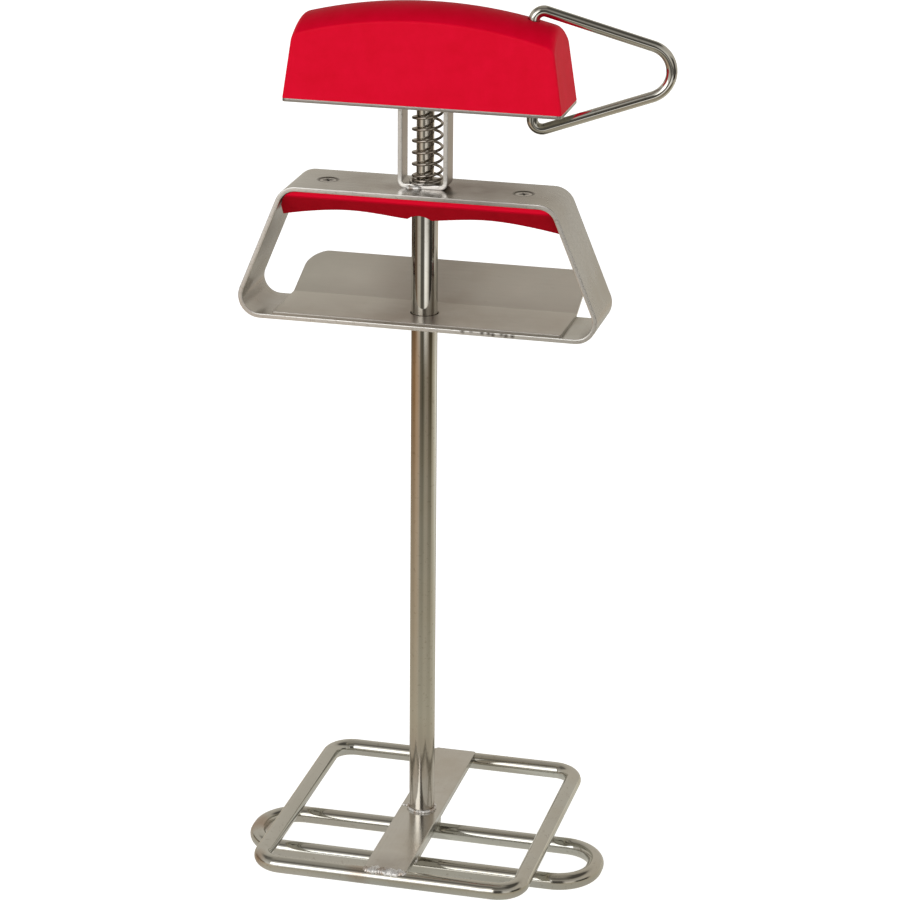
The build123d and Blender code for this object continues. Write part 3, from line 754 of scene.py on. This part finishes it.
def straight_bead(mesh, centre, bead, seed, facing=1, size=1.0):
    """A bead along X. facing is -1 for one whose crown leans to the back; size scales its two half sizes."""
    lean = math.radians(facing * bead["tilt"])
    out = Vector((0, -math.sin(lean), math.cos(lean)))
    side = Vector((0, math.cos(lean), math.sin(lean)))
    length = bead["length"]
    count = max(8, round(length / BEAD_STEP))
    line = [Vector(centre) + Vector((length * (k / count - 0.5), 0, 0)) for k in range(count + 1)]
    rise = bead["rise"] * size
    reach = bead["reach"] * size
    add_bead(mesh, line, [out] * len(line), [side] * len(line), rise, reach, False, seed)


def ring_bead(mesh, radius, z, rise, reach, seed):
    """A bead round the foot of the tube."""
    count = round(2 * math.pi * radius / BEAD_STEP)
    spokes = [Vector((math.cos(a), math.sin(a), 0)) for a in full_turn(count)]
    up = Vector((0, 0, 1))
    line = [spoke * radius + up * z for spoke in spokes]
    out = [(spoke + up).normalized() for spoke in spokes]
    side = [(spoke - up).normalized() for spoke in spokes]
    add_bead(mesh, line, out, side, rise, reach, True, seed)


def weld_object(name, mesh, body, node):
    bmesh.ops.recalc_face_normals(mesh, faces=mesh.faces)
    obj = new_object(name, mesh, WELD)
    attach(obj, body)
    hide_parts(node)


def end_beads(name, body, node, bead, y, z, back_size):
    """One bead at the front and one at the back of a cross strip. back_size scales the second one."""
    mesh = bmesh.new()
    for seed, facing, size in ((3, 1, 1.0), (11, -1, back_size)):
        straight_bead(mesh, (0, -facing * y, z), bead, seed, facing, size)
    weld_object(name, mesh, body, node)


def bracket_beads():
    """One bead in front of the bracket's foot and one behind it, at opposite ends."""
    mesh = bmesh.new()
    for seed, facing in ((5, 1), (17, -1)):
        centre = (facing * BRACKET_BEAD_X, -facing * BRACKET_BEAD_Y, BRACKET_BEAD_Z)
        straight_bead(mesh, centre, BRACKET_BEAD, seed, facing)
    weld_object("bracket_beads", mesh, TRIGGER, "bracket_welds")


def tube_foot_bead():
    """The bead round the tube, with a short tack that runs out to the plate's left edge."""
    mesh = bmesh.new()
    ring_bead(mesh, FOOT_BEAD_R, FOOT_BEAD_Z, FOOT_BEAD_RISE, FOOT_BEAD_REACH, seed=7)
    straight_bead(mesh, TACK_PLACE, TACK_BEAD, seed=23)
    weld_object("tube_foot_bead", mesh, TRIGGER, "tube_weld")


end_beads("plate_beads", TRIGGER, "upper_foot_welds", PLATE_BEAD, PLATE_BEAD_Y, PLATE_BEAD_Z, PLATE_BACK_BEAD)
end_beads("strap_beads", CORE, "lower_foot_welds", STRAP_BEAD, STRAP_BEAD_Y, STRAP_BEAD_Z, STRAP_BACK_BEAD)
bracket_beads()
tube_foot_bead()

# ---- CAD nodes that keep their own shape ----
NODE_FINISH = {
    "handle_cover": COVER_RED,
    "finger_grip": GRIP_RED,
    "grip_frame": FRAME_SHEET,
    "heat_shield": SHIELD_SHEET,
    "handle_base_plate": HANDLE_SHEET,
    "guide_bracket": BRACKET_SHEET,
    "foot_plate": PLATE_SHEET,
    "lower_foot_strap": PLATE_SHEET,
    "push_rod": ROD_STEEL,
    "rod_nut": FASTENER,
    "rod_washer": FASTENER,
    "spring_seat": FASTENER,
    "cover_screws": FASTENER,
    "grip_screws": FASTENER,
}
for name, material in NODE_FINISH.items():
    node = frame["nodes"][name]
    node.data.materials.clear()
    node.data.materials.append(material)


# ---- floor and light ----
def stage_floor():
    """A plain pale floor. It is kept out of the reflections, which come from the studio round it."""
    bpy.ops.mesh.primitive_plane_add(size=FLOOR_SIZE)
    floor = bpy.context.object
    floor.name = "floor"
    n = Nodes("pale_floor")
    n.set(Roughness=0.9, Specular_IOR_Level=0.1, Emission_Strength=FLOOR_GLOW)
    n.set(Base_Color=FLOOR_COLOUR, Emission_Color=(*WHITE, 1))
    floor.data.materials.append(n.material)
    floor.visible_glossy = False
    floor.visible_diffuse = False
    floor.visible_transmission = False
    floor.visible_volume_scatter = False


def softbox(name, azimuth, elevation, distance, size, radiance):
    """A rectangular soft light aimed at LIGHT_AIM. Azimuth 0 is straight in front, 90 is +X."""
    light = bpy.data.lights.new(name, "AREA")
    light.shape = "RECTANGLE"
    light.size, light.size_y = size
    light.energy = math.pi * radiance * size[0] * size[1]
    obj = bpy.data.objects.new(name, light)
    bpy.context.scene.collection.objects.link(obj)
    turn, rise = math.radians(azimuth), math.radians(elevation)
    out = Vector((math.cos(rise) * math.sin(turn), -math.cos(rise) * math.cos(turn), math.sin(rise)))
    obj.location = Vector(LIGHT_AIM) + distance * out
    obj.rotation_euler = (-out).to_track_quat("-Z", "Y").to_euler()
    obj.visible_camera = False
    obj.visible_diffuse = False


class WorldNodes(Nodes):
    """The same short calls for the world's node tree."""

    def __init__(self, world):
        world.use_nodes = True
        self.tree = world.node_tree
        self.background = world.node_tree.nodes["Background"]


def tone(level, warmth=0.45):
    """A light tone from neutral (0) to brown (1)."""
    return (level, level * (1 - 0.16 * warmth), level * (1 - 0.42 * warmth))


def turned(azimuth):
    """Place along a full-turn ramp for degrees of azimuth: 0 is in front, positive towards +X."""
    return (azimuth + 180) / 360


def raised(elevation):
    """Place along a ramp from straight down to straight up for degrees of elevation."""
    return (elevation + 90) / 180


# Colours round the room: (degrees of azimuth, colour).
FAR_TONES = [                        # the far table: brown to the left, white cards, dark gaps
    (-178, (0.40, 0.36, 0.32)),
    (-120, (0.08, 0.045, 0.025)),
    (-64, (0.15, 0.09, 0.055)),
    (-40, (0.62, 0.56, 0.49)),
    (-28, (0.68, 0.63, 0.55)),
    (-16, (0.12, 0.115, 0.10)),
    (4, (0.13, 0.12, 0.10)),
    (20, (1.45, 1.40, 1.34)),
    (34, (1.25, 1.20, 1.14)),
    (46, (0.62, 0.59, 0.54)),
    (58, (0.02, 0.015, 0.01)),
    (82, (0.02, 0.015, 0.01)),
    (112, (0.62, 0.56, 0.49)),
    (145, (0.62, 0.55, 0.46)),
]
MIDDLE_TONES = [                     # between near and far, where the table is darker and browner in front
    (-178, (0.42, 0.39, 0.34)),
    (-118, (0.32, 0.21, 0.13)),
    (-85, (0.34, 0.19, 0.09)),
    (-50, (0.58, 0.38, 0.24)),
    (-30, (0.54, 0.40, 0.30)),
    (-16, (0.17, 0.145, 0.11)),
    (4, (0.11, 0.095, 0.065)),
    (28, (0.35, 0.30, 0.23)),
    (44, (0.33, 0.27, 0.21)),
    (60, (0.15, 0.12, 0.08)),
    (78, (0.10, 0.08, 0.04)),
    (98, (0.50, 0.44, 0.33)),
    (120, (0.76, 0.71, 0.59)),
    (143, (1.15, 1.12, 1.02)),
    (156, (0.55, 0.52, 0.46)),
]
# Colours from the floor to the ceiling: (degrees of elevation, colour).
FRONT_TONES = [
    (-90, tone(0.45)),
    (-40, tone(0.58)),
    (-8, tone(0.66)),
    (8, tone(0.75, 0.3)),
    (36, tone(0.45, 0.3)),
    (54, tone(0.19)),
    (68, tone(0.19)),
    (84, tone(0.36)),
]
BACK_TONES = [
    (-90, tone(0.45)),
    (-25, tone(0.58)),
    (0, tone(0.58)),
    (30, tone(0.60)),
    (60, tone(0.42)),
    (84, tone(0.36)),
]
SOFT_GLOW = [
    (-90, tone(0.04, 0)),
    (-35, tone(0.07, 0)),
    (-14, tone(0.90, 0)),
    (0, tone(2.20, 0)),
    (15, tone(1.70, 0)),
    (30, tone(0.60, 0)),
    (50, tone(0.20, 0)),
    (90, tone(0.12, 0)),
]
# Bright and dark patches of the room. Each has four azimuths and four elevations in degrees: it fades
# in from the first to the second and out from the third to the fourth.
WINDOWS = [
    ((-48, -34, -13, -5), (-9, 1, 44, 59), tone(0.85, 0.2)),
    ((-6, 1, 24, 33), (-16, -12, 28, 38), tone(0.09)),
    ((20, 30, 100, 124), (-16, -14, -9, -3), tone(0.15)),
    ((48, 62, 150, 170), (44, 52, 70, 80), tone(0.10)),
    ((-132, -120, -80, -60), (34, 44, 58, 68), tone(0.18)),
    ((52, 62, 90, 104), (-18, -14, 12, 20), tone(0.07)),
    ((-122, -110, -70, -58), (-18, -14, 5, 12), tone(0.13, 1.0)),
]


def ramp(n, value, stops):
    """Colours at positions from 0 to 1 along value."""
    node = n.add("ShaderNodeValToRGB")
    node.color_ramp.interpolation = "EASE"
    elements = node.color_ramp.elements
    while len(elements) < len(stops):
        elements.new(0.5)
    for element, (position, _) in zip(elements, stops):
        element.position = position
    for element, (_, colour) in zip(elements, stops):
        element.color = (*colour, 1)
    n.link(value, node.inputs["Fac"])
    return node.outputs["Color"]


def ramp_round(n, round_turn, stops):
    return ramp(n, round_turn, [(turned(azimuth), colour) for azimuth, colour in stops])


def ramp_up(n, rise, stops):
    return ramp(n, rise, [(raised(elevation), colour) for elevation, colour in stops])


def azimuth_of(n, x, y):
    """Angle round the vertical in radians: 0 in front, positive towards +X."""
    return n.math("ARCTAN2", x, n.math("MULTIPLY", y, -1.0))


def part_of_turn(n, azimuth):
    return n.remap(azimuth, -math.pi, math.pi, 0.0, 1.0)


def band(n, value, start, full, full_end, end):
    """1 between full and full_end, falling to 0 at start and end."""
    return n.math("MULTIPLY", n.amount(value, start, full), n.remap(value, full_end, end, 1.0, 0.0))


def table_card():
    """The near part of the table, seen only in reflections: pale by the feet, more broken up further out."""
    place = (0, 0, CARD_Z)
    bpy.ops.mesh.primitive_circle_add(vertices=64, radius=CARD_RADIUS, fill_type="NGON", location=place)
    card = bpy.context.object
    card.name = "table_card"
    n = Nodes("table_card")
    n.set(Specular_IOR_Level=0.0, Emission_Strength=1.0, Base_Color=(*BLACK, 1))
    where = n.place()
    x, y, _ = n.split(where)
    reach = n.distance(where, (0, 0, 0))
    near = n.blend_colours(n.amount(reach, start=0.07, full=0.16), CARD_NEAR, CARD_MIDDLE)
    middle = ramp_round(n, part_of_turn(n, azimuth_of(n, x, y)), MIDDLE_TONES)
    away = n.remap(reach, 0.16, 0.70, 0.16, 1.0)
    n.link(n.blend_colours(away, near, middle), n.shader.inputs["Emission Color"])
    n.link(n.remap(reach, CARD_RADIUS * 0.8, CARD_RADIUS, 1.0, 0.0), n.shader.inputs["Alpha"])
    card.data.materials.append(n.material)
    card.visible_camera = False
    card.visible_diffuse = False
    card.visible_shadow = False
    card.visible_transmission = False


def studio_world():
    """The room round the object: pale table and wall, darker ceiling and gaps between the cards.

    Mirror reflections see that room. Everything soft is lit by a plain glow instead, strongest near the
    horizon and from the front. The camera sees white.
    """
    world = bpy.data.worlds.new("studio")
    bpy.context.scene.world = world
    n = WorldNodes(world)
    x, y, z = n.split(n.add("ShaderNodeTexCoord").outputs["Generated"])
    azimuth = azimuth_of(n, x, y)
    round_turn = part_of_turn(n, azimuth)
    elevation = n.math("ARCSINE", z)
    rise = n.remap(elevation, -math.pi / 2, math.pi / 2, 0.0, 1.0)
    frontness = n.amount(n.math("COSINE", azimuth), start=-0.1, full=0.7)

    room = n.blend_colours(frontness, ramp_up(n, rise, BACK_TONES), ramp_up(n, rise, FRONT_TONES))
    table = band(n, rise, raised(-26), raised(-22), raised(-14), raised(-8))
    room = n.blend_colours(table, room, ramp_round(n, round_turn, FAR_TONES))
    for azimuths, elevations, colour in WINDOWS:
        across = band(n, round_turn, *[turned(a) for a in azimuths])
        upright = band(n, rise, *[raised(e) for e in elevations])
        room = n.blend_colours(n.math("MULTIPLY", across, upright), room, colour)

    glow = ramp_up(n, rise, SOFT_GLOW)
    glow = n.blend_colours(n.remap(frontness, 0.0, 1.0, 0.42, 0.0), glow, BLACK)
    ray = n.add("ShaderNodeLightPath").outputs
    lit = n.blend_colours(ray["Is Glossy Ray"], glow, room)
    n.link(n.blend_colours(ray["Is Camera Ray"], lit, WHITE), n.background.inputs["Color"])


# ---- camera ----
def make_camera():
    camera = bpy.data.cameras.new("camera")
    camera.lens = CAMERA_LENS
    camera.sensor_width = CAMERA_SENSOR
    camera.shift_x, camera.shift_y = CAMERA_SHIFT
    camera.clip_end = CAMERA_REACH
    obj = bpy.data.objects.new("camera", camera)
    bpy.context.scene.collection.objects.link(obj)
    turn = Euler([math.radians(angle) for angle in CAMERA_TURN])
    obj.matrix_world = Matrix.Translation(CAMERA_PLACE) @ turn.to_matrix().to_4x4()
    bpy.context.scene.camera = obj


stage_floor()
table_card()
softbox("front_softbox", azimuth=-23, elevation=19, distance=2.4, size=(1.7, 1.15), radiance=1.65)
studio_world()
make_camera()
bpy.context.scene.view_settings.view_transform = "Standard"
